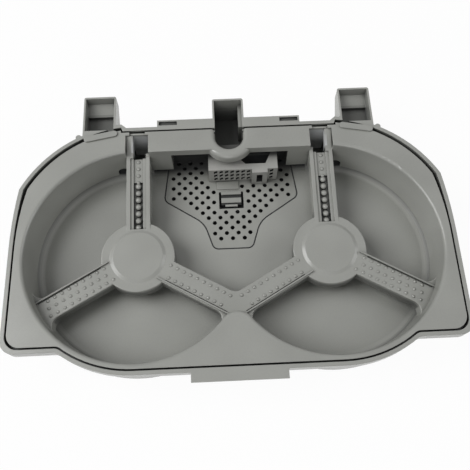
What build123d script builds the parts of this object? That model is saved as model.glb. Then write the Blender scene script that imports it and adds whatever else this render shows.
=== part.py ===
# Mop washing tray: a lower tray moulding, a wash board that drops into it, a perforated
# filter plate in the floor and a strainer cage over the drain.
# Millimetres, +Z up. The origin is on the underside, midway between the two hub axes.
import os
from math import acos, asin, atan, cos, degrees, hypot, radians, sin, sqrt, tan

from build123d import *

os.makedirs("parts", exist_ok=True)

# Levels above the surface that the tray stands on
tray_height = 49.0
floor_height = 8.0
floor_thick = 2.5
pool_fillet = 11.5
hub_drop = 16.5
wall_drop = 36.8
wall_draft = 2.5
flange_thick = 2.2
deck_thick = 2.4

# Wall thicknesses and clearances
tray_wall = 2.4
board_wall = 2.0
skin = 2.0
board_gap = 1.6
rear_gap = 3.4
basin_clearance = 1.2
plate_gap = 0.5
bay_clearance = 3.0
bay_inset = 2.0
moat_inset = 0.2

# Plan of the basins and of the flange around them
hub_spacing = 175.0
basin_radius = 99.0
front_margin = 4.6
side_margin = 7.7
rear_margin = 14.4
rear_land = 21.0
ear_setback = 21.4
ear_corner_radius = 12.0
ear_fillet_radius = 9.0
side_start = 5.0
shoulder_y = 64.0
rear_arc_setback = 10.0
rear_arc_run = 15.5
cusp_radius = 15.0
lip_radius = 3.0

# Hubs and arms of the wash board
hub_radius = 33.5
boss_radius = 25.5
boss_top_radius = 22.5
boss_rise = 1.6
arm_width = 22.0
skirt_depth = 13.0
window_radius = 9.0
edge_round = 0.9
rib_width = 1.3
rib_height = 1.8
rib_inset = 0.9
groove_width = 1.0
groove_depth = 1.0
rear_arm_rise = 8.5
rear_rail = 3.6
rear_channel_width = 8.8
rear_channel_depth = 3.0
rear_step_depth = 1.4
pocket_depth = 5.5
pocket_length = 46.5
stud_count = 7
stud_pitch = 6.75
stud_start = 3.0
stud_radius = 2.7
stud_round = 1.2
ramp_width = 6.5
ramp_drop = 2.0
recess_strip = 3.2
spill_setback = 2.4
outlet_width = 9.4
outlet_height = 10.0
bar_length = 32.0
bar_width = 6.0
bar_rise = 1.4
bar_lift = 0.2
bar_tilt = 10.9
bar_inset = 1.2
bar_shift = 2.0

# Bridge with its finger notch
bridge_lap = 0.5
bridge_setback = 22.0
bridge_beam = 8.6
bridge_leg = 21.0
bridge_leg_depth = 14.0
bridge_corner = 8.0
notch_radius = 13.4
notch_setback = 15.0
notch_lip = 11.0
notch_lip_drop = 9.5
notch_lip_round = 4.4

# Rim, tongue and rear ledge of the tray
rim_width = 3.4
rim_skirt = 12.0
tongue_half = 40.3
tongue_reach = 8.0
ledge_half = 68.5
ledge_depth = 12.0
slot_length = 17.5
slot_width = 4.0
slot_inset = 1.6
nub_radius = 2.7
nub_gap = 1.0

# Rearward channels of the tray
prong_offset = 36.5
prong_width = 31.0
prong_length = 41.0
prong_wall = 1.8
prong_corner = 2.0
prong_shelf_drop = 9.5
prong_shelf_fall = 3.5
prong_shelf_length = 13.0
prong_floor_drop = 17.0
prong_tip = 12.0
prong_heel = 33.0
prong_heel_run = 11.0
prong_root = 32.0
duct_width = 30.0
duct_length = 33.7
duct_drop = 36.0
duct_rib_width = 3.4
duct_rib_drop = 9.0
duct_rib_length = 26.0

# Filter plate: half outline from the toe to the rear
plate_thick = 2.0
plate_toe_half = 18.3
plate_toe_y = 13.0
plate_waist_half = 27.0
plate_waist_y = 40.0
plate_shoulder_half = 65.5
plate_shoulder_y = 65.5
plate_rear_half = 59.5
plate_setback = 5.0
plate_toe_radius = 6.0
plate_waist_radius = 25.0
plate_shoulder_radius = 7.0
hole_radius = 2.05
hole_pitch_x = 11.35
hole_pitch_y = 5.5
hole_margin = 5.0
hole_start_y = 39.8
sump_ledge = 2.0

# Snap latch and solid patch of the filter plate
latch_x = 0.0
latch_drop = 16.0
latch_width = 24.0
latch_length = 18.0
latch_gap = 2.2
ridge_width = 3.4
ridge_height = 1.4
thumb_width = 5.2
thumb_height = 0.8
toe_width = 12.0
tongue_thick = 1.2
patch_x = -3.0
patch_gap = 0.75
patch_width = 22.0
patch_length = 8.5
patch_height = 0.8

# Strainer cage
cage_left = -21.0
cage_right = 46.0
cage_setback = 8.0
cage_depth = 27.5
cage_top_drop = 17.0
cage_wall = 1.6
cage_hood = 6.0
cage_hood_left = 31.5
cage_hood_slant = 4.5
cage_gusset = 11.5
strain_rows = 3
strain_columns = 7
strain_margin = 4.1
strain_pitch_x = 5.35
strain_pitch_z = 7.0
strain_base = 5.6
strain_height = 4.2
strain_width = 3.3
strain_rise = 1.8
tab_inset = 10.0
tab_width = 15.0
tab_reach = 4.0
tab_window_width = 5.8
tab_window_height = 15.0
tab_window_z = 11.0

# Values that follow from the sizes above
hub_x = hub_spacing / 2
front_radius = basin_radius + front_margin
half_width = hub_x + basin_radius + side_margin
rear_radius = basin_radius + rear_margin
rear_edge = basin_radius + rear_land
rear_arc_end = hub_x + rear_arc_run
ear_front = front_radius - ear_setback
hub_top = tray_height - hub_drop
skirt_foot = hub_top - skirt_depth
wall_foot = tray_height - wall_drop
wall_taper = degrees(atan(wall_draft / wall_drop))
deck_top = tray_height - flange_thick
deck_under = deck_top - deck_thick
drum_radius = basin_radius + board_wall
pool_radius = drum_radius + basin_clearance
cusp_reach = basin_radius + cusp_radius
cusp_angle = degrees(acos(hub_x / cusp_reach))
cusp_y = sqrt(cusp_reach**2 - hub_x**2)
cusp_foot = wall_foot + basin_clearance + board_wall
tub_radius = pool_radius + tray_wall
bay_half = hub_x + arm_width / 2 + bay_clearance
bay_rear = rear_edge - bay_inset
bay_wall = bay_rear + tray_wall
rim_grow = board_gap + rim_width
rim_rear_grow = rear_gap + rim_width
rim_front = front_radius + rim_grow
rim_foot = tray_height - rim_skirt
moat_floor = rim_foot + deck_thick
ledge_reach = rear_edge + ledge_depth
prong_x = hub_x + prong_offset
prong_end = rear_edge + prong_length
prong_heel_y = rear_edge + prong_heel_run
prong_root_y = rear_edge - prong_root
prong_inside = prong_width - 2 * prong_wall
prong_mouth = rear_arc_setback + rear_radius
prong_shelf_y = prong_end - prong_wall - prong_shelf_length
nub_x = prong_x + prong_width / 2 + nub_gap + nub_radius
nub_y = rear_arc_setback + sqrt((rear_radius + rim_rear_grow) ** 2 - (nub_x - hub_x) ** 2)
duct_end = rear_edge + duct_length
duct_floor = tray_height - duct_drop
sump_floor = floor_thick
spider_radius = basin_radius - wall_draft * hub_drop / wall_drop
arm_reach = spider_radius + board_wall / 2
arm_spread = degrees(asin(arm_width / 2 / spider_radius))
arm_cross = hub_x * tan(radians(30))
arm_edge = arm_width / 2 / cos(radians(30))
join_half = hub_x + arm_width / 2 * sin(radians(30)) - arm_reach * cos(radians(30))
join_front = arm_reach * sin(radians(30)) + arm_width / 2 * cos(radians(30))
join_rear = (arm_reach - hub_x * cos(radians(30))) / sin(radians(30))
rib_offset = arm_width / 2 - rib_inset - rib_width / 2
groove_offset = rib_offset - (rib_width + groove_width) / 2
rear_arm_end = drum_radius
rear_arm_top = hub_top + rear_arm_rise
channel_start = boss_radius + board_wall / 2
channel_slope = rear_arm_rise / (rear_arm_end - boss_radius)
spill_y = basin_radius - spill_setback
recess_end = rear_edge - recess_strip
ramp_end = bay_rear - basin_clearance / 2
recess_out = hub_x + arm_width / 2
ramp_in = recess_out - ramp_width
outlet_x = recess_out + board_wall + outlet_width / 2
bridge_half = hub_x - arm_width / 2 + bridge_lap
bridge_front = rear_edge - bridge_setback
notch_y = bridge_front + notch_setback
notch_outer = notch_radius + notch_lip
bar_x = prong_x - bar_shift
bar_y = rear_arc_setback + sqrt(rear_radius**2 - (bar_x - hub_x) ** 2) - bar_width / 2 + bar_inset
plate_rear_y = rear_edge - plate_setback
plate_under = floor_height - plate_thick
cage_x = (cage_left + cage_right) / 2
cage_back = rear_edge - cage_setback
cage_front = cage_back - cage_depth
cage_top = tray_height - cage_top_drop
tab_x = cage_right - tab_inset - tab_width / 2
patch_y = cage_front - patch_gap - patch_length / 2
latch_y = patch_y - latch_drop
sides = (-1, 1)
hubs = [(-hub_x, 0), (hub_x, 0)]
arm_angles = (210, 330)


# The flange's plan, grown outwards for the rim around it
def flange_plan(height, grow, rear_grow):
    front = front_radius + grow
    half = half_width + grow
    ear = ear_front + grow
    rear = rear_radius + rear_grow
    ear_angle = degrees(asin(ear / front))
    shoulder_rise = shoulder_y - rear_arc_setback
    shoulder_x = hub_x + sqrt(rear**2 - shoulder_rise**2)
    arc_start = degrees(asin(shoulder_rise / rear))
    arc_stop = degrees(acos((rear_arc_end - hub_x) / rear))
    arc_stop_y = rear_arc_setback + rear * sin(radians(arc_stop))
    ear_x = hub_x + front * cos(radians(ear_angle))
    rear_line = rear_edge + grow
    with BuildSketch(Plane.XY.offset(height), mode=Mode.PRIVATE) as plan:
        with BuildLine():
            Line((0, -front), (hub_x, -front))
            CenterArc((hub_x, 0), front, -90, 90 - ear_angle)
            Line((ear_x, -ear), (half, -ear))
            Line((half, -ear), (half, side_start))
            TangentArc((half, side_start), (shoulder_x, shoulder_y), tangent=(0, 1))
            CenterArc((hub_x, rear_arc_setback), rear, arc_start, arc_stop - arc_start)
            Line((rear_arc_end, arc_stop_y), (rear_arc_end - grow, rear_line))
            Line((rear_arc_end - grow, rear_line), (0, rear_line))
            mirror(about=Plane.YZ)
        make_face()
        for side in sides:
            corner = plan.vertices().sort_by_distance((side * half, -ear, height))[0]
            fillet(corner, radius=ear_corner_radius)
            inner = plan.vertices().sort_by_distance((side * ear_x, -ear, height))[0]
            fillet(inner, radius=ear_fillet_radius)
    return plan.sketch


# Two round pools side by side; arcs around two fixed centres round off the cusps between them
def pools_plan(height, radius):
    with BuildSketch(Plane.XY.offset(height), mode=Mode.PRIVATE) as plan:
        with BuildLine():
            CenterArc((0, -cusp_y), cusp_reach - radius, cusp_angle, 90 - cusp_angle)
            CenterArc((hub_x, 0), radius, 180 + cusp_angle, 360 - 2 * cusp_angle)
            CenterArc((0, cusp_y), cusp_reach - radius, -90, 90 - cusp_angle)
            mirror(about=Plane.YZ)
        make_face()
    return plan.sketch


# The filter plate's shield outline, grown outwards for the recess it lies in
def shield_plan(height, grow):
    with BuildSketch(Plane.XY.offset(height), mode=Mode.PRIVATE) as plan:
        with BuildLine():
            Polyline(
                (0, plate_toe_y),
                (plate_toe_half, plate_toe_y),
                (plate_waist_half, plate_waist_y),
                (plate_shoulder_half, plate_shoulder_y),
                (plate_rear_half, plate_rear_y),
                (0, plate_rear_y),
            )
            mirror(about=Plane.YZ)
        make_face()
        for side in sides:
            toe = plan.vertices().sort_by_distance((side * plate_toe_half, plate_toe_y, height))[0]
            fillet(toe, radius=plate_toe_radius)
            waist = plan.vertices().sort_by_distance((side * plate_waist_half, plate_waist_y, height))[0]
            fillet(waist, radius=plate_waist_radius)
            shoulder_at = (side * plate_shoulder_half, plate_shoulder_y, height)
            shoulder = plan.vertices().sort_by_distance(shoulder_at)[0]
            fillet(shoulder, radius=plate_shoulder_radius)
        if grow:
            offset(amount=grow, mode=Mode.REPLACE)
    return plan.sketch


# A U open to the rear, for the finger notch and its lip
def notch_plan(height, radius):
    with BuildSketch(Plane.XY.offset(height), mode=Mode.PRIVATE) as plan:
        with BuildLine():
            CenterArc((0, notch_y), radius, 180, 180)
            Polyline((radius, notch_y), (radius, rear_edge), (-radius, rear_edge), (-radius, notch_y))
        make_face()
    return plan.sketch


# The water space inside the tray: two round pools with a rounded floor corner, and the rear bay
with BuildPart() as pools:
    extrude(pools_plan(floor_height, pool_radius), amount=tray_height - floor_height)
    fillet(pools.faces().sort_by(Axis.Z)[0].edges(), radius=pool_fillet)
    with BuildSketch(Plane.XY.offset(floor_height)):
        with Locations((0, bay_rear / 2)):
            Rectangle(2 * bay_half, bay_rear)
    extrude(amount=tray_height - floor_height)

# Lower tray: tub, deck and rim
with BuildPart() as base_tray:
    with BuildSketch() as tub:
        add(pools_plan(0, tub_radius))
        with Locations((0, bay_wall / 2)):
            Rectangle(2 * (bay_half + tray_wall), bay_wall)
    extrude(amount=deck_top)
    extrude(flange_plan(rim_foot, rim_grow, rim_rear_grow), amount=rim_skirt)

    # channels that reach back from the rim, on brackets that thin out towards their ends
    for side in sides:
        with BuildSketch(Plane.YZ.offset(side * prong_x - prong_width / 2)) as bracket:
            with BuildLine():
                Polyline(
                    (prong_root_y, tray_height),
                    (prong_end, tray_height),
                    (prong_end, tray_height - prong_tip),
                    (prong_heel_y, tray_height - prong_heel),
                    (prong_root_y, tray_height - prong_heel),
                    close=True,
                )
            make_face()
        extrude(amount=prong_width)
        with Locations((side * nub_x, nub_y, tray_height - rim_skirt / 2)):
            Cylinder(nub_radius, rim_skirt)
    with BuildSketch(Plane.XY.offset(duct_floor - prong_wall)) as duct:
        with Locations((0, (rear_edge + duct_end) / 2)):
            Rectangle(duct_width, duct_end - rear_edge)
    extrude(amount=tray_height - duct_floor + prong_wall)
    prong_ends = base_tray.edges().filter_by(Axis.Z).group_by(Axis.Y)
    fillet(prong_ends[-1] + prong_ends[-2], radius=prong_corner)

    # rear ledge and front tongue, level with the rim
    with BuildSketch(Plane.XY.offset(deck_under)) as ledge:
        with Locations((0, (rear_edge + ledge_reach) / 2)):
            Rectangle(2 * ledge_half, ledge_reach - rear_edge)
    extrude(amount=tray_height - deck_under)
    with BuildSketch(Plane.XY.offset(tray_height - deck_thick)) as tongue:
        with Locations((0, -rim_front - tongue_reach / 2 + rim_width / 2)):
            Rectangle(2 * tongue_half, tongue_reach + rim_width)
    extrude(amount=deck_thick)

    # hollow under the deck, inside the rim's turned-down skirt and its moat
    with BuildSketch(Plane.XY.offset(rim_foot)) as under_deck:
        add(flange_plan(rim_foot, -moat_inset - tray_wall, -moat_inset - tray_wall))
        add(pools_plan(rim_foot, tub_radius), mode=Mode.SUBTRACT)
        with Locations((0, bay_wall / 2)):
            Rectangle(2 * (bay_half + tray_wall), bay_wall, mode=Mode.SUBTRACT)
        for side in sides:
            with Locations((side * prong_x, rear_edge)):
                Rectangle(prong_width, rear_edge, mode=Mode.SUBTRACT)
    extrude(amount=deck_under - rim_foot, mode=Mode.SUBTRACT)
    # recess that the wash board's flange lies in
    extrude(flange_plan(deck_top, board_gap, rear_gap), amount=flange_thick, mode=Mode.SUBTRACT)
    # narrow moat all round it, which shows as a dark line
    with BuildSketch(Plane.XY.offset(moat_floor)) as moat:
        add(flange_plan(moat_floor, board_gap, rear_gap))
        add(flange_plan(moat_floor, -moat_inset, -moat_inset), mode=Mode.SUBTRACT)
    extrude(amount=deck_top - moat_floor, mode=Mode.SUBTRACT)

    # insides of the outer channels: a sloping shelf at the far end, deeper towards the tray
    for side in sides:
        with BuildSketch(Plane.YZ.offset(side * prong_x - prong_inside / 2)) as trough:
            with BuildLine():
                Polyline(
                    (prong_mouth, tray_height),
                    (prong_end - prong_wall, tray_height),
                    (prong_end - prong_wall, tray_height - prong_shelf_drop),
                    (prong_shelf_y, tray_height - prong_shelf_drop - prong_shelf_fall),
                    (prong_shelf_y, tray_height - prong_floor_drop),
                    (prong_mouth, tray_height - prong_floor_drop),
                    close=True,
                )
            make_face()
        extrude(amount=prong_inside, mode=Mode.SUBTRACT)
        # the bracket is hollow from below
        with BuildSketch(Plane.YZ.offset(side * prong_x - prong_inside / 2)) as bracket_hollow:
            with BuildLine():
                Polyline(
                    (prong_root_y, tray_height - prong_floor_drop - prong_wall),
                    (prong_shelf_y - prong_wall, tray_height - prong_floor_drop - prong_wall),
                    (prong_heel_y, tray_height - prong_heel),
                    (prong_root_y, tray_height - prong_heel),
                    close=True,
                )
            make_face()
        extrude(amount=prong_inside, mode=Mode.SUBTRACT)
        # rectangular slot in the ledge
        slot_y = ledge_reach - slot_inset - slot_width / 2
        with Locations((side * (ledge_half - slot_inset - slot_length / 2), slot_y, tray_height)):
            Box(slot_length, slot_width, 2 * flange_thick, mode=Mode.SUBTRACT)
    # inside of the middle channel, open to the rear bay
    with BuildSketch(Plane.XY.offset(duct_floor)) as duct_inside:
        with Locations((0, (bay_rear + duct_end - prong_wall) / 2)):
            Rectangle(duct_width - 2 * prong_wall, duct_end - prong_wall - bay_rear)
    extrude(amount=tray_height - duct_floor, mode=Mode.SUBTRACT)
    # rib along the right wall of the middle channel
    with BuildSketch(Plane.XY.offset(duct_floor)) as duct_rib:
        with Locations((duct_width / 2 - prong_wall - duct_rib_width / 2, duct_end - prong_wall / 2)):
            Rectangle(duct_rib_width, duct_rib_length, align=(Align.CENTER, Align.MAX))
    extrude(amount=duct_drop - duct_rib_drop)

    add(pools.part, mode=Mode.SUBTRACT)
    # sump below the filter plate, with a ledge that the plate lies on
    extrude(shield_plan(sump_floor, -sump_ledge), amount=floor_height - sump_floor, mode=Mode.SUBTRACT)
    extrude(shield_plan(floor_height - plate_thick, plate_gap), amount=plate_thick, mode=Mode.SUBTRACT)
    # the underside is recessed below the pools, around the sump and a foot in the middle
    with BuildSketch() as under_pools:
        with Locations(*hubs):
            Circle(pool_radius - pool_fillet)
        add(shield_plan(0, tray_wall), mode=Mode.SUBTRACT)
        Rectangle(2 * plate_toe_half, 2 * plate_toe_y, mode=Mode.SUBTRACT)
    extrude(amount=floor_height - floor_thick, mode=Mode.SUBTRACT)

base_tray.part.label = "base_tray"
export_step(base_tray.part, "parts/base_tray.step")

# Finger notch lip: a U of round section around the notch in the bridge
lip_foot = tray_height - notch_lip_drop
with BuildPart() as finger_lip:
    extrude(notch_plan(lip_foot, notch_outer), amount=notch_lip_drop)
    extrude(notch_plan(lip_foot, notch_radius), amount=notch_lip_drop, mode=Mode.SUBTRACT)
    # only the top of the lip runs on over the tray's rear wall
    with Locations((0, rear_edge, lip_foot)):
        Box(
            2 * notch_outer,
            2 * (rear_edge - bay_rear + basin_clearance),
            2 * (notch_lip_drop - flange_thick),
            mode=Mode.SUBTRACT,
        )
    lip_top = finger_lip.faces().sort_by(Axis.Z)[-1]
    fillet(lip_top.edges() - lip_top.edges().filter_by(Axis.X), radius=notch_lip_round)

# Hubs of the wash board and the arms that run out to the basin walls, with rounded window corners
with BuildPart() as spider:
    with BuildSketch(Plane.XY.offset(skirt_foot)) as spider_plan:
        with Locations(*hubs):
            Circle(spider_radius + board_wall)
        with Locations(*hubs):
            Circle(spider_radius, mode=Mode.SUBTRACT)
        with Locations((0, rear_edge / 2)):
            Rectangle(2 * bridge_half, rear_edge, mode=Mode.SUBTRACT)
        for x, y in hubs:
            for angle in arm_angles:
                with Locations(Location((x, y), angle)):
                    Rectangle(arm_reach, arm_width, align=(Align.MIN, Align.CENTER))
        # between the ends of the inner arms, up to the cusp of the basin wall
        if join_half > 0:
            with Locations((0, -(join_rear + join_front) / 2)):
                Rectangle(2 * join_half, join_front - join_rear)
        with Locations(*hubs):
            Circle(hub_radius)
        # the inner arms meet each other before or behind the basin wall
        window_corners = [(0, arm_edge - arm_cross)]
        arms_meet = hypot(hub_x, arm_cross + arm_edge) < spider_radius
        if arms_meet:
            window_corners.append((0, -arm_edge - arm_cross))
        for side in sides:
            outer_angle = 270 + 60 * side
            corner_angles = [outer_angle - arm_spread, outer_angle + arm_spread]
            if not arms_meet:
                corner_angles.append(270 - 60 * side + side * arm_spread)
            for angle in corner_angles:
                corner_x = side * hub_x + spider_radius * cos(radians(angle))
                window_corners.append((corner_x, spider_radius * sin(radians(angle))))
        for x, y in window_corners:
            corner = spider_plan.vertices().sort_by_distance((x, y, skirt_foot))[0]
            fillet(corner, radius=window_radius)
    extrude(amount=skirt_depth)
    # the edges inside the basin walls are rounded
    top_edges = spider.faces().sort_by(Axis.Z)[-1].edges()
    inside = spider_radius - edge_round
    middles = [edge @ 0.5 for edge in top_edges]
    reach = [hypot(abs(middle.X) - hub_x, middle.Y) for middle in middles]
    fillet([edge for edge, far in zip(top_edges, reach) if far < inside], radius=edge_round)

# Wash board: flange and basin walls
with BuildPart() as wash_board:
    extrude(flange_plan(deck_top, 0, 0), amount=flange_thick)
    for x, y in hubs:
        with Locations((x, y, wall_foot)):
            upright = (Align.CENTER, Align.CENTER, Align.MIN)
            Cone(drum_radius - wall_draft, drum_radius, wall_drop, align=upright)
    # the wall goes round the front cusp in a smaller arc
    with BuildSketch(Plane.XY.offset(cusp_foot)) as cusp_wall:
        add(pools_plan(cusp_foot, drum_radius))
        with Locations((0, cusp_radius - cusp_y)):
            Rectangle(2 * cusp_radius, 2 * cusp_radius, mode=Mode.INTERSECT)
    extrude(amount=tray_height - cusp_foot)
    basins = pools_plan(tray_height, basin_radius)
    extrude(basins, amount=-wall_drop, taper=wall_taper, mode=Mode.SUBTRACT)
    top_arcs = wash_board.edges().filter_by(GeomType.CIRCLE).group_by(Axis.Z)[-1]
    mouth_arcs = top_arcs.filter_by(lambda arc: abs(arc.radius - basin_radius) < board_wall / 2)
    fillet(mouth_arcs, radius=lip_radius)
    with BuildSketch(Plane.XY.offset(wall_foot)) as bay:
        with Locations((0, bridge_front / 2)):
            Rectangle(2 * bridge_half, bridge_front)
    extrude(amount=tray_height - wall_foot, mode=Mode.SUBTRACT)

    add(spider.part)
    # hollow below hubs and arms
    with BuildSketch(Plane.XY.offset(skirt_foot)) as spider_hollow:
        for x, y in hubs:
            for angle in arm_angles:
                with Locations(Location((x, y), angle)):
                    arm_inside = arm_width - 2 * skin
                    Rectangle(spider_radius - skin, arm_inside, align=(Align.MIN, Align.CENTER))
        with Locations(*hubs):
            Circle(hub_radius - skin)
    extrude(amount=skirt_depth - skin, mode=Mode.SUBTRACT)

    # one thin scraper rib along each arm: at the rear of the outer arms, at the front of the inner ones
    with BuildSketch(Plane.XY.offset(hub_top)) as ribs:
        for side in sides:
            for angle in arm_angles:
                with Locations(Location((side * hub_x, 0), angle)):
                    with Locations((boss_radius, side * rib_offset)):
                        Rectangle(arm_reach - boss_radius, rib_width, align=(Align.MIN, Align.CENTER))
    extrude(amount=rib_height)
    with BuildSketch(Plane.XY.offset(hub_top)) as grooves:
        for side in sides:
            for angle in arm_angles:
                with Locations(Location((side * hub_x, 0), angle)):
                    with Locations((hub_radius, side * groove_offset)):
                        groove_length = spider_radius - hub_radius - skin
                        Rectangle(groove_length, groove_width, align=(Align.MIN, Align.CENTER))
    extrude(amount=-groove_depth, mode=Mode.SUBTRACT)

    # rear arms climb from the hub to the rear wall and carry water down a sunken channel
    for x, y in hubs:
        with BuildSketch(Plane.YZ.offset(x - arm_width / 2)) as rear_arm:
            with BuildLine():
                Polyline(
                    (boss_radius, hub_top),
                    (rear_arm_end, rear_arm_top),
                    (rear_arm_end, rear_arm_top - skirt_depth),
                    (boss_radius, skirt_foot),
                    close=True,
                )
            make_face()
        extrude(amount=arm_width)
        # stepped channel along its slope, with a deep pocket for a row of studs
        slope = Plane(origin=(x, boss_radius, hub_top), x_dir=(1, 0, 0), z_dir=(0, -channel_slope, 1))
        for width, depth, start, length in (
            (arm_width - 2 * rear_rail, rear_step_depth, channel_start - boss_radius, rear_edge),
            (rear_channel_width, rear_channel_depth, channel_start - boss_radius, rear_edge),
            (rear_channel_width, pocket_depth, channel_start - boss_radius, pocket_length),
        ):
            with BuildSketch(slope.offset(-depth)) as rear_channel:
                with Locations((0, start)):
                    Rectangle(width, length, align=(Align.CENTER, Align.MIN))
            extrude(amount=depth + wall_drop, mode=Mode.SUBTRACT)
        with BuildSketch(Plane.YZ.offset(x - arm_width / 2 + skin)) as rear_arm_hollow:
            with BuildLine():
                Polyline(
                    (0, skirt_foot),
                    (0, hub_top - skin - pocket_depth),
                    (boss_radius, hub_top - skin - pocket_depth),
                    (rear_arm_end - skin, rear_arm_top - skin - pocket_depth),
                    (rear_arm_end - skin, skirt_foot),
                    close=True,
                )
            make_face()
        extrude(amount=arm_width - 2 * skin, mode=Mode.SUBTRACT)
        with Locations((x, y, hub_top)):
            Cone(boss_radius, boss_top_radius, boss_rise, align=upright)
    # studs in the pockets
    with BuildPart(mode=Mode.PRIVATE) as studs:
        for x, y in hubs:
            slope = Plane(origin=(x, boss_radius, hub_top), x_dir=(1, 0, 0), z_dir=(0, -channel_slope, 1))
            with BuildSketch(slope.offset(-pocket_depth - skin / 2)):
                for k in range(stud_count):
                    with Locations((0, stud_start + stud_pitch * k)):
                        Circle(stud_radius)
            extrude(amount=pocket_depth)
        stud_tops = studs.faces().filter_by(lambda face: face.center().Z > hub_top - stud_round)
        chamfer(stud_tops.edges(), length=stud_round)
    add(studs.part)
    # open recess in the flange behind each rear arm, and a small arched outlet beside it
    for side in sides:
        with BuildSketch(Plane.XY.offset(rear_arm_top)) as recess:
            with Locations((side * (bridge_half + recess_out) / 2, (spill_y + recess_end) / 2)):
                Rectangle(recess_out - bridge_half, recess_end - spill_y)
        extrude(amount=tray_height, mode=Mode.SUBTRACT)
        with BuildSketch(Plane.XY.offset(wall_foot)) as spill:
            spill_in = hub_x - arm_width / 2 + rear_rail
            with Locations((side * (spill_in + ramp_in) / 2, (spill_y + recess_end) / 2)):
                Rectangle(ramp_in - spill_in, recess_end - spill_y)
        extrude(amount=tray_height, mode=Mode.SUBTRACT)
        ramp_x = ramp_in if side > 0 else -recess_out
        with BuildSketch(Plane.YZ.offset(ramp_x)) as ramp:
            with BuildLine():
                Polyline(
                    (spill_y, rear_arm_top - skirt_depth),
                    (spill_y, rear_arm_top - channel_slope * (rear_arm_end - spill_y)),
                    (ramp_end, tray_height - ramp_drop),
                    (ramp_end, rear_arm_top - skin),
                    close=True,
                )
            make_face()
        extrude(amount=ramp_width)
        with BuildSketch(Plane.XZ.offset(-rear_arm_end)) as outlet:
            with Locations((side * outlet_x, wall_foot + (outlet_height - outlet_width / 2) / 2)):
                Rectangle(outlet_width, outlet_height - outlet_width / 2)
            with Locations((side * outlet_x, wall_foot + outlet_height - outlet_width / 2)):
                Circle(outlet_width / 2)
        extrude(amount=basin_radius / 4, mode=Mode.SUBTRACT)

    # bridge over the rear bay: a beam on two hollow legs
    with BuildSketch(Plane.XY.offset(tray_height - bridge_beam)) as beam:
        with Locations((0, bridge_front + board_wall / 2)):
            Rectangle(2 * bridge_half, board_wall)
    extrude(amount=bridge_beam)
    for side in sides:
        with BuildSketch(Plane.XZ.offset(-bridge_front)) as leg:
            with Locations((side * (bridge_half - bridge_leg / 2), (wall_foot + deck_top) / 2)):
                Rectangle(bridge_leg, deck_top - wall_foot)
            foot = leg.vertices().sort_by_distance((side * bridge_half, bridge_front, wall_foot))[0]
            fillet(foot, radius=bridge_corner)
        extrude(amount=-bridge_leg_depth)
        with BuildSketch(Plane.XZ.offset(-bridge_front - board_wall)) as leg_hollow:
            with Locations((side * (bridge_half - bridge_leg / 2), (wall_foot + deck_top) / 2)):
                Rectangle(bridge_leg - 2 * board_wall, deck_top - wall_foot)
        extrude(amount=-bridge_leg_depth, mode=Mode.SUBTRACT)
    notch = notch_plan(lip_foot, notch_radius + notch_lip_round)
    extrude(notch, amount=notch_lip_drop, mode=Mode.SUBTRACT)
    add(finger_lip.part)

    # raised bars along the rear edge, which reach over the rim into the outer channels
    with BuildSketch(Plane.XY.offset(tray_height + bar_lift), mode=Mode.PRIVATE) as bars:
        for side in sides:
            with Locations(Location((side * bar_x, bar_y), -side * bar_tilt)):
                SlotOverall(bar_length, bar_width)
    extrude(bars.sketch, amount=bar_rise)
    with BuildSketch(Plane.XY.offset(deck_top)) as bar_feet:
        add(flange_plan(deck_top, 0, 0))
        add(bars.sketch.moved(Location((0, 0, deck_top - tray_height - bar_lift))), mode=Mode.INTERSECT)
    extrude(amount=flange_thick + bar_lift)

wash_board.part.label = "wash_board"
export_step(wash_board.part, "parts/wash_board.step")

# Filter plate: the shield outline with a diagonal grid of holes and a snap latch
with BuildPart() as hole_field:
    extrude(shield_plan(plate_under, -hole_margin), amount=plate_thick)
field = hole_field.part.solids()[0]
cage_span = cage_right - cage_left
kept_clear = [
    (latch_x, latch_y, latch_width + 2 * hole_margin, latch_length + 2 * hole_radius),
    (patch_x, patch_y, patch_width + hole_margin, patch_length + hole_margin),
    (cage_x, cage_back - cage_depth / 2, cage_span + hole_margin, cage_depth + 2 * hole_margin),
]
hole_places = []
for row in range(-6, 16):
    for column in range(-6, 7):
        x = hole_pitch_x * (column + 0.5 * ((row + 1) % 2))
        y = hole_start_y + hole_pitch_y * row
        clear = all(abs(x - cx) > w / 2 or abs(y - cy) > l / 2 for cx, cy, w, l in kept_clear)
        if clear and field.is_inside((x, y, floor_height - plate_thick / 2)):
            hole_places.append((x, y))
with BuildPart() as filter_plate:
    extrude(shield_plan(plate_under, 0), amount=plate_thick)
    with BuildSketch(Plane.XY.offset(plate_under)) as holes:
        with Locations(*hole_places):
            Circle(hole_radius)
        with Locations((latch_x, latch_y)):
            Rectangle(latch_width, latch_length)
    extrude(amount=plate_thick, mode=Mode.SUBTRACT)
    # the latch is a thin tongue on the window's rear edge, with a ridge, a thumb bar and a narrow toe
    latch_rear = latch_y + latch_length / 2
    tongue_width = latch_width - 2 * latch_gap
    for width, start, length, height in (
        (tongue_width, 0, latch_length - 2 * latch_gap, tongue_thick),
        (tongue_width, 0, ridge_width, plate_thick + ridge_height),
        (tongue_width, 2 * ridge_width, thumb_width, plate_thick + thumb_height),
        (toe_width, latch_length - 2 * latch_gap, latch_gap, plate_thick),
    ):
        with BuildSketch(Plane.XY.offset(plate_under)) as latch:
            with Locations((latch_x, latch_rear - start)):
                Rectangle(width, length, align=(Align.CENTER, Align.MAX))
        extrude(amount=height)
    with BuildSketch(Plane.XY.offset(floor_height)) as patch:
        with Locations((patch_x, patch_y)):
            Rectangle(patch_width, patch_length)
    extrude(amount=patch_height)

filter_plate.part.label = "filter_plate"
export_step(filter_plate.part, "parts/filter_plate.step")

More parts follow.
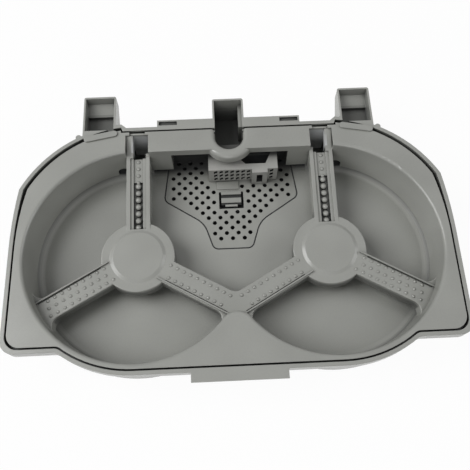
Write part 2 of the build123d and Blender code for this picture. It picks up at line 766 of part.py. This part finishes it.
# Strainer cage: a thin open-backed box on the filter plate, over the drain
with BuildPart() as strainer_cage:
    with BuildSketch(Plane.XY.offset(floor_height)) as cage_plan:
        with Locations((cage_x, (cage_front + cage_back) / 2)):
            Rectangle(cage_span, cage_depth)
    extrude(amount=cage_top - floor_height)
    with BuildSketch(Plane.XY.offset(floor_height)) as cage_hollow:
        with Locations((cage_x, (cage_front + cage_wall + cage_back) / 2)):
            Rectangle(cage_span - 2 * cage_wall, cage_depth - cage_wall)
    extrude(amount=cage_top - floor_height - cage_wall, mode=Mode.SUBTRACT)
    # opening in the top, beside a triangular gusset
    with BuildSketch(Plane.XY.offset(cage_top - cage_wall)) as top_opening:
        with BuildLine():
            Polyline(
                (cage_left + cage_hood_left, cage_back),
                (cage_left + cage_hood_left, cage_front + cage_hood + cage_hood_slant),
                (cage_left + cage_hood_left + cage_hood_slant, cage_front + cage_hood),
                (cage_right - cage_gusset, cage_front + cage_hood),
                (cage_right - cage_wall, cage_back),
                close=True,
            )
        make_face()
    extrude(amount=cage_wall, mode=Mode.SUBTRACT)
    # leaning slots through the front, and one more column of them beyond the tab
    slot_columns = [cage_left + strain_margin + strain_pitch_x * (k + 0.5) for k in range(strain_columns)]
    slot_columns.append(cage_right - tab_inset / 2 - cage_wall / 2)
    with BuildSketch(Plane.XZ.offset(-cage_front)) as slots:
        for row in range(strain_rows):
            for x in slot_columns:
                with Locations((x, floor_height + strain_base + strain_pitch_z * row)):
                    Polygon(
                        (-strain_width / 2, -(strain_height + strain_rise) / 2),
                        (strain_width / 2, -(strain_height - strain_rise) / 2),
                        (strain_width / 2, (strain_height + strain_rise) / 2),
                        (-strain_width / 2, (strain_height - strain_rise) / 2),
                        align=None,
                    )
    extrude(amount=-cage_wall, mode=Mode.SUBTRACT)
    # snap tab on the front, with a square window
    with BuildSketch(Plane.XY.offset(floor_height)) as tab:
        with Locations((tab_x, cage_front - tab_reach / 2)):
            Rectangle(tab_width, tab_reach)
    extrude(amount=cage_top - floor_height)
    with BuildSketch(Plane.XZ.offset(-cage_front + tab_reach)) as tab_window:
        with Locations((tab_x, floor_height + tab_window_z)):
            Rectangle(tab_window_width, tab_window_height)
    extrude(amount=-tab_reach - cage_wall, mode=Mode.SUBTRACT)

strainer_cage.part.label = "strainer_cage"
export_step(strainer_cage.part, "parts/strainer_cage.step")
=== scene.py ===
import math

import bmesh
import bpy
from mathutils import Matrix, Vector


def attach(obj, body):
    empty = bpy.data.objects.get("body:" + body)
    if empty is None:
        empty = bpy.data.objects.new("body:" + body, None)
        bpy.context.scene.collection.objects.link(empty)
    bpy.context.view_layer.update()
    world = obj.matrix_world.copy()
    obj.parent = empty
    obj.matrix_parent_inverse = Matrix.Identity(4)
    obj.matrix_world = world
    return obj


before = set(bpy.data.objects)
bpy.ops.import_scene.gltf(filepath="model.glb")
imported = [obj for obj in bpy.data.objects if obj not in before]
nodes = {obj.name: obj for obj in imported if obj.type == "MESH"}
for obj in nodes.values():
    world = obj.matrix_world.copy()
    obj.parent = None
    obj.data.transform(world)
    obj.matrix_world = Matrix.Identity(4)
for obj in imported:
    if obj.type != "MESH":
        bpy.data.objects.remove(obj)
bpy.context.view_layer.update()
mm = 0.001
print("frame loaded:", ", ".join(sorted(nodes)))

# Places on the tray in millimetres, on its right half; the left half mirrors them
layout = {
    "hubX": 87.5, "hubTop": 32.5, "floorTop": 8.0,
    "recessX": 85.5, "outletX": 105.2, "ledgeSlotX": 58.15, "channelX": 124.0,
}


def srgb(text):
    # sRGB hex to linear, with full alpha
    parts = [int(text[i:i + 2], 16) / 255 for i in (1, 3, 5)]
    linear = [c / 12.92 if c <= 0.04045 else ((c + 0.055) / 1.055) ** 2.4 for c in parts]
    return (*linear, 1.0)


def addNode(tree, kind, settings=None, links=None):
    # settings go to sockets where the name is one, else to the node itself
    node = tree.nodes.new(kind)
    for name, value in (settings or {}).items():
        if isinstance(name, int) or name in node.inputs:
            node.inputs[name].default_value = value
        else:
            setattr(node, name, value)
    for name, socket in (links or {}).items():
        tree.links.new(socket, node.inputs[name])
    return node


def setStops(ramp, steps):
    # colour stops as (position, sRGB hex), from low to high
    stops = ramp.color_ramp.elements
    while len(stops) < len(steps):
        stops.new(0.5)
    for stop, (position, colour) in zip(stops, steps):
        stop.position, stop.color = position, srgb(colour)


def perMetre(sizeMm):
    # noise scale that gives features of this size on object coordinates in metres
    return 1.0 / (sizeMm * mm)


def newMaterial(name):
    material = bpy.data.materials.new(name)
    material.use_nodes = True
    material.node_tree.nodes.clear()
    return material, material.node_tree


def around(centre, half):
    # range of a film's box about a place
    return (centre - half, centre + half)


# Painted shade and painted light, zone by zone: a near-black tint paints shade into channels, holes,
# pockets, outlets, floor corners, the lower sides of the arms and the places under overhangs, and a
# pale tint paints light into the recesses behind the rear arms. Each zone fills one box in millimetres
# and fades in along one axis, from clear to full.
paintedShadeAndLightColours = {"paintedShade": "#141618", "paintedLight": "#c8cacb"}
paintedShadeAndLightZones = {
    "base_tray": {
        "middle channel": {"X": (-13.8, 13.8), "Y": (117, 152.5), "Z": (12.4, 46),
                           "fade": ("Z", 44, 20), "paintedAmount": 0.65},
        "bay under the bridge": {"X": (-76, 76), "Y": (91, 118.6), "Z": (7, 47),
                                 "fade": ("Y", 91, 101), "paintedAmount": 0.88},
        "sump floor": {"X": (-64, 64), "Y": (14, 115), "Z": (2.3, 3.5),
                       "fade": ("Z", 3.5, 3.0), "paintedAmount": 0.9},
        "filter ledge": {"X": (-68, 68), "Y": (11, 117), "Z": (5.6, 7.8),
                         "fade": ("Z", 7.8, 7.5), "paintedAmount": 0.9},
        "floor corner": {"X": (-192, 192), "Y": (-104, 118), "Z": (8.1, 20),
                         "fade": ("Z", 8.1, 9.4), "paintedAmount": 0.5, "facesUp": True},
        "outer channels": {"X": around(layout["channelX"], 13.8), "Y": (119, 148.5), "Z": (31, 40),
                           "fade": ("Z", 40, 33), "paintedAmount": 0.5, "mirror": True},
        "ledge slots": {"X": around(layout["ledgeSlotX"], 8.8), "Y": (126.3, 130.5),
                        "Z": (46, 48.8), "fade": ("Z", 48.8, 48), "paintedAmount": 0.75, "mirror": True},
        "behind the outlets": {"X": around(layout["outletX"], 5.4), "Y": (93, 103), "Z": (7, 23),
                               "fade": ("Y", 94, 96.5), "paintedAmount": 0.9, "mirror": True},
        # painted light: a pale tint lifts the dim recess below each rear arm's end
        "below the recesses": {"X": around(layout["recessX"], 8.5), "Y": (100.5, 118),
                               "Z": (8.5, 47), "fade": ("Z", 47, 42), "paintedAmount": 0.9,
                               "mirror": True, "paintedTone": "paintedLight"},
    },
    "wash_board": {
        "outlets": {"X": around(layout["outletX"], 4.9), "Y": (96.2, 101.5), "Z": (11.5, 22.2),
                    "fade": ("Y", 96.1, 96.5), "paintedAmount": 0.9, "mirror": True},
        "hub and arm sides": {"X": around(layout["hubX"], 77.5), "Y": (-57, 40), "Z": (20, 31.6),
                              "fade": ("Z", 31.6, 27), "paintedAmount": 0.6, "mirror": True},
        # painted light: a pale tint lifts the dim recess behind each rear arm
        "recesses": {"X": around(layout["recessX"], 8.5), "Y": (101.5, 118), "Z": (8.5, 47),
                     "fade": ("Z", 47, 42), "paintedAmount": 0.9, "mirror": True, "paintedTone": "paintedLight"},
    },
    "filter_plate": {
        "hole walls": {"X": (-67, 67), "Y": (12, 116), "Z": (5.5, 7.8),
                       "fade": ("Z", 7.8, 7.5), "paintedAmount": 0.9},
        "under the cage": {"X": (-19.5, 44.5), "Y": (86.1, 112.5), "Z": (5, 9),
                           "fade": ("Y", 86, 87), "paintedAmount": 0.9},
        "under the bridge": {"X": (-70, 70), "Y": (86, 116), "Z": (5, 12),
                             "fade": ("Y", 88, 101), "paintedAmount": 0.86},
    },
    "strainer_cage": {
        "inside": {"X": (-20.7, 45.7), "Y": (84.75, 112.4), "Z": (7, 31.7),
                   "fade": ("Y", 84.7, 84.9), "paintedAmount": 0.92},
        "tab window": {"X": (25.5, 31.5), "Y": (80.75, 86), "Z": (11.2, 26.8),
                       "fade": ("Y", 80.7, 80.9), "paintedAmount": 0.92},
        "rear of the top": {"X": (-21.5, 46.5), "Y": (94, 113), "Z": (30, 33),
                            "fade": ("Y", 95, 101), "paintedAmount": 0.75},
    },
}


def bothSides(zones):
    for zone in zones:
        yield zone
        if zone.get("mirror"):
            low, high = zone["X"]
            yield {**zone, "X": (-high, -low)}


def addPaintedShadeAndLight(tree, place, zone, colour, rough):
    # how much of the zone's painted shade or painted light lies here, then that tint over the plastic,
    # and the roughness raised to match
    axes = addNode(tree, "ShaderNodeSeparateXYZ", links={0: place}).outputs
    axis, clear, full = zone["fade"]
    fade = {"interpolation_type": "SMOOTHSTEP", "From Min": clear * mm, "From Max": full * mm,
            "To Max": zone["paintedAmount"]}
    paintedAmount = addNode(tree, "ShaderNodeMapRange", fade, {"Value": axes[axis]}).outputs["Result"]
    limits = []
    for axis in "XYZ":
        low, high = zone[axis]
        box = {"operation": "COMPARE", 1: (low + high) / 2 * mm, 2: (high - low) / 2 * mm}
        limits.append(addNode(tree, "ShaderNodeMath", box, {0: axes[axis]}))
    if zone.get("facesUp"):
        normal = addNode(tree, "ShaderNodeNewGeometry").outputs["Normal"]
        height = addNode(tree, "ShaderNodeSeparateXYZ", links={0: normal}).outputs["Z"]
        upward = {"operation": "GREATER_THAN", 1: 0.1}
        limits.append(addNode(tree, "ShaderNodeMath", upward, {0: height}))
    for limit in limits:
        paintedAmount = addNode(tree, "ShaderNodeMath", {"operation": "MULTIPLY"},
                        {0: paintedAmount, 1: limit.outputs[0]}).outputs[0]
    # near-black painted shade, unless the zone asks for pale painted light
    paintedTone = srgb(paintedShadeAndLightColours[zone.get("paintedTone", "paintedShade")])
    colour = addNode(tree, "ShaderNodeMix", {"data_type": "RGBA", 7: paintedTone}, {0: paintedAmount, 6: colour})
    rough = addNode(tree, "ShaderNodeMath", {"operation": "MAXIMUM"}, {0: rough, 1: paintedAmount})
    return colour.outputs[2], rough.outputs[0]


# Injection-moulded ABS from a fine spark-eroded mould: an even grey with a satin sheen, soft broad
# highlights, and edges just round enough to catch a thin line of light
def mouldedAbs(look, zones):
    material, tree = newMaterial(look["name"])
    place = addNode(tree, "ShaderNodeTexCoord").outputs["Object"]
    # flow clouding of the melt, tens of millimetres wide
    cloud = addNode(tree, "ShaderNodeTexNoise",
                    {"Scale": perMetre(look["cloudMm"]), "Detail": 1.0, "Roughness": 0.5},
                    {"Vector": place}).outputs["Fac"]
    # pigment speckle, drawn coarser than the real one so that it shows
    speck = addNode(tree, "ShaderNodeTexNoise", {"Scale": perMetre(look["speckMm"]), "Detail": 2.0},
                    {"Vector": place}).outputs["Fac"]
    tone = addNode(tree, "ShaderNodeMath", {"operation": "MULTIPLY_ADD", 1: look["speckShare"]},
                   {0: speck, 2: cloud}).outputs[0]
    pigment = addNode(tree, "ShaderNodeValToRGB", links={"Fac": tone})
    setStops(pigment, ((0.3, look["dark"]), (1.0, look["light"])))
    # rubbed patches are a little smoother
    rough = addNode(tree, "ShaderNodeMapRange",
                    {"From Min": 0.1, "From Max": 0.9, "To Min": look["roughLow"],
                     "To Max": look["roughHigh"]}, {"Value": cloud}).outputs["Result"]
    # spark-eroded grain, drawn about twice as coarse as it is
    grain = addNode(tree, "ShaderNodeTexNoise",
                    {"Scale": perMetre(look["grainMm"]), "Detail": 4.0, "Roughness": 0.6},
                    {"Vector": place}).outputs["Fac"]
    edges = addNode(tree, "ShaderNodeBevel", {"Radius": look["edgeMm"] * mm, "samples": 6})
    bump = addNode(tree, "ShaderNodeBump",
                   {"Strength": look["grainStrength"], "Distance": look["grainDeepMm"] * mm},
                   {"Height": grain, "Normal": edges.outputs["Normal"]})
    # painted shade: seams, corners and deep pockets get a darker colour the more enclosed they are
    # (ambient occlusion)
    colour = pigment.outputs["Color"]
    for reachMm, steps in ((look["cornerShadeMm"], look["cornerShadeSteps"]),
                           (look["pocketShadeMm"], look["pocketShadeSteps"])):
        nook = addNode(tree, "ShaderNodeAmbientOcclusion", {"Distance": reachMm * mm, "samples": 12})
        paintedEnclosedShade = addNode(tree, "ShaderNodeValToRGB", links={"Fac": nook.outputs["AO"]})
        setStops(paintedEnclosedShade, steps)
        colour = addNode(tree, "ShaderNodeMix", {"data_type": "RGBA", "blend_type": "MULTIPLY", 0: 1.0},
                         {6: colour, 7: paintedEnclosedShade.outputs["Color"]}).outputs[2]
    # painted shade and painted light, zone by zone
    for zone in bothSides(zones):
        colour, rough = addPaintedShadeAndLight(tree, place, zone, colour, rough)
    shader = addNode(tree, "ShaderNodeBsdfPrincipled",
                     {"IOR": look["ior"], "Specular IOR Level": look["specular"]},
                     {"Base Color": colour, "Roughness": rough, "Normal": bump.outputs["Normal"]})
    addNode(tree, "ShaderNodeOutputMaterial", links={"Surface": shader.outputs["BSDF"]})
    return material


# All four mouldings share the resin; the filter and the cage came from a coarser mould
resin = {
    "ior": 1.53, "specular": 0.5, "speckShare": 0.35,
    # the reaches and steps below paint shade into the colour of seams, corners and deep pockets, by how
    # enclosed they are
    "cornerShadeMm": 6, "pocketShadeMm": 35,
    "cornerShadeSteps": ((0.0, "#3a3b3c"), (0.25, "#a2a2a1"), (0.5, "#e0e0df"), (0.75, "#ffffff")),
    "pocketShadeSteps": ((0.0, "#7c7e80"), (0.3, "#c2c3c3"), (0.6, "#f6f6f5"), (0.9, "#ffffff")),
}
mouldings = {
    "base_tray": {
        "name": "mouldedAbsTray", "dark": "#9d9e99", "light": "#a8a9a4",
        "roughLow": 0.24, "roughHigh": 0.28, "cloudMm": 45, "speckMm": 1.2,
        "grainMm": 0.7, "grainDeepMm": 0.03, "grainStrength": 0.35, "edgeMm": 0.7,
    },
    "wash_board": {
        "name": "mouldedAbsBoard", "dark": "#999a95", "light": "#a6a7a2",
        "roughLow": 0.22, "roughHigh": 0.26, "cloudMm": 38, "speckMm": 1.1,
        "grainMm": 0.7, "grainDeepMm": 0.03, "grainStrength": 0.3, "edgeMm": 0.7,
    },
    "filter_plate": {
        "name": "mouldedAbsFilter", "dark": "#93948f", "light": "#a2a39e",
        "roughLow": 0.34, "roughHigh": 0.44, "cloudMm": 20, "speckMm": 0.9,
        "grainMm": 0.6, "grainDeepMm": 0.04, "grainStrength": 0.5, "edgeMm": 0.4,
    },
    "strainer_cage": {
        "name": "mouldedAbsCage", "dark": "#9c9d99", "light": "#adaca8",
        "roughLow": 0.32, "roughHigh": 0.42, "cloudMm": 15, "speckMm": 0.9,
        "grainMm": 0.6, "grainDeepMm": 0.03, "grainStrength": 0.4, "edgeMm": 0.4, "pocketShadeMm": 12,
    },
}
finishes = {}
for nodeName, look in mouldings.items():
    finishes[nodeName] = mouldedAbs({**resin, **look}, paintedShadeAndLightZones[nodeName].values())
    mesh = nodes[nodeName].data
    mesh.materials.clear()
    mesh.materials.append(finishes[nodeName])
print("moulded plastic on", len(mouldings), "nodes")


# Painted shade for the seam round the filter plate: near black with a dusty bloom, matt, no sharp
# highlight
def seamShadeMaterial(look):
    material, tree = newMaterial(look["name"])
    place = addNode(tree, "ShaderNodeTexCoord").outputs["Object"]
    bloom = addNode(tree, "ShaderNodeTexNoise", {"Scale": perMetre(look["bloomMm"]), "Detail": 4.0},
                    {"Vector": place}).outputs["Fac"]
    colour = addNode(tree, "ShaderNodeValToRGB", links={"Fac": bloom})
    setStops(colour, ((0.35, look["dark"]), (0.75, look["light"])))
    bump = addNode(tree, "ShaderNodeBump",
                   {"Strength": look["grainStrength"], "Distance": look["grainDeepMm"] * mm},
                   {"Height": bloom})
    shader = addNode(tree, "ShaderNodeBsdfPrincipled", {"Roughness": look["rough"], "IOR": look["ior"]},
                     {"Base Color": colour.outputs["Color"], "Normal": bump.outputs["Normal"]})
    addNode(tree, "ShaderNodeOutputMaterial", links={"Surface": shader.outputs["BSDF"]})
    return material


seamShadeLook = {
    "name": "paintedSeamShade", "dark": "#151617", "light": "#242527", "bloomMm": 3,
    "grainDeepMm": 0.02, "grainStrength": 0.3, "rough": 0.75, "ior": 1.52,
}
finishes["filter_seam_shade"] = seamShadeMaterial(seamShadeLook)


def addPiece(name, build, material):
    # build fills a bmesh, in metres in the row frame; the piece rides on the one body
    mesh = bpy.data.meshes.new(name)
    shape = bmesh.new()
    build(shape)
    shape.to_mesh(mesh)
    shape.free()
    piece = bpy.data.objects.new(name, mesh)
    bpy.context.scene.collection.objects.link(piece)
    mesh.materials.append(material)
    mesh.shade_smooth()
    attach(piece, "root")


# Every bump is a dome of a few rings, with a foot that dips a little into what carries it
domeMesh = {"rings": 4, "sides": 16, "dipMm": 0.3}


def addDome(shape, at, radius, height):
    rings, sides = domeMesh["rings"], domeMesh["sides"]
    ballRadius = (radius ** 2 + height ** 2) / (2 * height)
    reach = math.acos(1 - height / ballRadius)  # from the top down to the foot
    turns = [2 * math.pi * k / sides for k in range(sides)]
    circles = [(radius, -domeMesh["dipMm"] * mm)]
    for ring in range(rings):
        angle = reach * (1 - ring / rings)
        circles.append((ballRadius * math.sin(angle), ballRadius * (math.cos(angle) - 1) + height))
    loops = []
    for r, z in circles:
        points = [Vector((r * math.cos(turn), r * math.sin(turn), z)) for turn in turns]
        loops.append([shape.verts.new(at + point) for point in points])
    top = shape.verts.new(at + Vector((0, 0, height)))
    for low, high in zip(loops, loops[1:]):
        for k in range(sides):
            after = (k + 1) % sides
            shape.faces.new((low[k], low[after], high[after], high[k]))
    for k in range(sides):
        shape.faces.new((loops[-1][k], loops[-1][(k + 1) % sides], top))
    shape.faces.new(list(reversed(loops[0])))


# Rubbing bumps on the front arms: low domes in rows, each as (offset to the rear, start, pitch, count),
# in millimetres from the hub's centre
armBumps = {
    "radius": 1.6, "height": 1.2, "armTurn": 60,
    "outerRows": ((6.0, 31.6, 6.97, 9), (-0.6, 33.6, 6.97, 9), (-7.4, 29.2, 6.87, 10)),
    "innerRows": ((6.2, 31.0, 6.75, 10), (-5.0, 35.0, 6.65, 9)),
}


def buildArmBumps(shape):
    look = armBumps
    for side in (-1, 1):
        hub = Vector((side * layout["hubX"], 0, layout["hubTop"]))
        for rows, turn in (("outerRows", look["armTurn"]), ("innerRows", -look["armTurn"])):
            angle = math.radians(270 + side * turn)
            along = Vector((math.cos(angle), math.sin(angle), 0))
            rearward = Vector((-along.y, along.x, 0)) * (1 if along.x > 0 else -1)
            for offset, start, pitch, count in look[rows]:
                for k in range(count):
                    at = hub + along * (start + pitch * k) + rearward * offset
                    addDome(shape, at * mm, look["radius"] * mm, look["height"] * mm)


# Rear arms: round heads on the studs in the pocket, and smaller domes further up the channel
rearBumps = {
    "armStart": 25.5, "armEnd": 101, "armRise": 8.5,
    "rows": (
        {"start": 28.48, "pitch": 6.708, "count": 7, "radius": 2.75, "height": 2.6, "below": 2.6},
        {"start": 73.0, "pitch": 6.9, "count": 4, "radius": 1.9, "height": 1.3, "below": 3.0},
    ),
}


def buildRearBumps(shape):
    look = rearBumps
    slope = look["armRise"] / (look["armEnd"] - look["armStart"])
    for side in (-1, 1):
        for row in look["rows"]:
            for k in range(row["count"]):
                y = row["start"] + row["pitch"] * k
                z = layout["hubTop"] + slope * (y - look["armStart"]) - row["below"]
                at = Vector((side * layout["hubX"], y, z))
                addDome(shape, at * mm, row["radius"] * mm, row["height"] * mm)


# Near-black bead in the seam round the filter plate, painting that seam's shade: right half of the
# plate's outline as (corner, radius), and the bead's section as (half widths across, rises up)
filterSeamShade = {
    "corners": (((0, 13), 0), ((18.3, 13), 6), ((27, 40), 25), ((65.5, 65.5), 7),
                ((59.5, 115), 1.0), ((0, 115), 0)),
    "section": ((-1.0, -0.3), (-0.45, 1.0), (0.45, 1.0), (1.0, -0.3)),
    "gapHalf": 0.25, "halfWidth": 0.75, "rise": 0.12, "arcSteps": 10,
}


def roundedPath(corners, arcSteps):
    # straight runs with an arc of the given radius at each corner
    points = []
    for k, (corner, radius) in enumerate(corners):
        here = Vector(corner)
        if not radius:
            points.append(here)
            continue
        back = (Vector(corners[k - 1][0]) - here).normalized()
        ahead = (Vector(corners[k + 1][0]) - here).normalized()
        half = back.angle(ahead) / 2
        centre = here + (back + ahead).normalized() * radius / math.sin(half)
        first = here + back * radius / math.tan(half)
        last = here + ahead * radius / math.tan(half)
        for step in range(arcSteps + 1):
            chord = first.lerp(last, step / arcSteps) - centre
            points.append(centre + chord.normalized() * radius)
    return points


def buildFilterSeamShade(shape):
    look = filterSeamShade
    right = roundedPath(look["corners"], look["arcSteps"])
    path = right + [Vector((-p.x, p.y)) for p in reversed(right[1:-1])]
    loops = []
    for k, point in enumerate(path):
        along = (path[(k + 1) % len(path)] - path[k - 1]).normalized()
        out = Vector((along.y, -along.x))
        loop = []
        for across, up in look["section"]:
            flat = point + out * (look["gapHalf"] + across * look["halfWidth"])
            height = layout["floorTop"] + up * look["rise"]
            loop.append(shape.verts.new(Vector((*flat, height)) * mm))
        loops.append(loop)
    for loop, after in zip(loops, loops[1:] + loops[:1]):
        for j in range(len(loop)):
            nextJ = (j + 1) % len(loop)
            shape.faces.new((loop[j], after[j], after[nextJ], loop[nextJ]))
    bmesh.ops.recalc_face_normals(shape, faces=shape.faces)


addPiece("arm_bumps", buildArmBumps, finishes["wash_board"])
addPiece("rear_arm_bumps", buildRearBumps, finishes["wash_board"])
# the near-black bead in the filter plate's seam is painted shade
addPiece("filter_seam_shade", buildFilterSeamShade, finishes["filter_seam_shade"])
print("bumps and filter seam added")

# Studio in metres and watts: pale floor, a strong softbox on the left, weaker ones on the right
# and in front
studio = {
    "floorColour": "#f6f6f6", "floorHalf": 9.0, "floorDropMm": 0.3, "floorGlow": 0.96,
    "skyStrength": 0.1,
    "softboxes": {
        "left_softbox": {"at": (-1.6, 0.14, 1.66), "size": 1.7, "power": 38},
        "right_softbox": {"at": (2.4, 0.2, 1.5), "size": 1.8, "power": 20},
        "front_softbox": {"at": (-0.27, -1.92, 1.03), "size": 1.4, "power": 8},
    },
}
white = (1, 1, 1, 1)


def seenDirectly(tree):
    # 1 for what the camera sees, straight, mirrored or through something, else 0
    path = addNode(tree, "ShaderNodeLightPath").outputs
    seen = path["Is Camera Ray"]
    for ray in ("Is Glossy Ray", "Is Transmission Ray"):
        seen = addNode(tree, "ShaderNodeMath", {"operation": "MAXIMUM"},
                       {0: seen, 1: path[ray]}).outputs[0]
    return seen


# Matt backdrop paper: seen as almost pure white, with just enough of its own shade to carry the shadow
def backdropPaper():
    material, tree = newMaterial("mattPaperBackdrop")
    paper = addNode(tree, "ShaderNodeBsdfDiffuse", {"Color": srgb(studio["floorColour"])})
    glow = addNode(tree, "ShaderNodeEmission", {"Color": white, "Strength": 1.0})
    share = addNode(tree, "ShaderNodeMath", {"operation": "MULTIPLY", 1: studio["floorGlow"]},
                    {0: seenDirectly(tree)})
    mix = addNode(tree, "ShaderNodeMixShader",
                  links={0: share.outputs[0], 1: paper.outputs[0], 2: glow.outputs[0]})
    addNode(tree, "ShaderNodeOutputMaterial", links={"Surface": mix.outputs[0]})
    return material


def addFloor():
    half = studio["floorHalf"]
    low = -studio["floorDropMm"] * mm  # just clear of the foot, so that the two never share a plane
    corners = [(-half, -half, low), (half, -half, low), (half, half, low), (-half, half, low)]
    mesh = bpy.data.meshes.new("studio_floor")
    mesh.from_pydata(corners, [], [(0, 1, 2, 3)])
    mesh.materials.append(backdropPaper())
    floor = bpy.data.objects.new("studio_floor", mesh)
    bpy.context.scene.collection.objects.link(floor)


def addSoftbox(name, at, size, power):
    lamp = bpy.data.lights.new(name, "AREA")
    lamp.shape = "DISK"
    lamp.size = size
    lamp.energy = power
    holder = bpy.data.objects.new(name, lamp)
    holder.location = at
    holder.rotation_euler = (-Vector(at)).to_track_quat("-Z", "Y").to_euler()
    bpy.context.scene.collection.objects.link(holder)


def addWorld():
    world = bpy.data.worlds.new("studio_world")
    bpy.context.scene.world = world
    world.use_nodes = True
    tree = world.node_tree
    tree.nodes.clear()
    sky = addNode(tree, "ShaderNodeBackground", {"Color": white, "Strength": studio["skyStrength"]})
    backdrop = addNode(tree, "ShaderNodeBackground", {"Color": white, "Strength": 1.0})
    mix = addNode(tree, "ShaderNodeMixShader",
                  links={0: seenDirectly(tree), 1: sky.outputs[0], 2: backdrop.outputs[0]})
    addNode(tree, "ShaderNodeOutputWorld", links={"Surface": mix.outputs[0]})


# Camera where the photograph was taken, fitted to the tray's circles and straight edges
cameraFit = {
    "elevation": 68.65, "roll": -0.15, "yaw": 2.72, "focalPx": 594.9, "framePx": 470,
    "distanceMm": 530.2, "targetMm": (1.23, 10.39, 49.0), "sensorMm": 36.0, "clip": (0.01, 20),
}


def addCamera():
    fit = cameraFit
    elevation, roll, yaw = (math.radians(fit[turn]) for turn in ("elevation", "roll", "yaw"))
    level = Vector((math.cos(yaw), -math.sin(yaw), 0))
    ahead = Vector((math.sin(yaw), math.cos(yaw), 0))
    forward = ahead * math.cos(elevation) - Vector((0, 0, math.sin(elevation)))
    down = forward.cross(level)
    right = level * math.cos(roll) + down * math.sin(roll)
    up = level * math.sin(roll) - down * math.cos(roll)
    camera = bpy.data.cameras.new("photo_camera")
    camera.sensor_width = fit["sensorMm"]
    camera.lens = fit["focalPx"] / fit["framePx"] * fit["sensorMm"]
    camera.clip_start, camera.clip_end = fit["clip"]
    holder = bpy.data.objects.new("photo_camera", camera)
    place = (Vector(fit["targetMm"]) - forward * fit["distanceMm"]) * mm
    turn = Matrix((right, up, -forward)).transposed().to_4x4()
    holder.matrix_world = Matrix.Translation(place) @ turn
    bpy.context.scene.collection.objects.link(holder)
    bpy.context.scene.camera = holder


addFloor()
for name, softbox in studio["softboxes"].items():
    addSoftbox(name, **softbox)
addWorld()
addCamera()
bpy.context.scene.view_settings.view_transform = "Standard"
print("studio set")
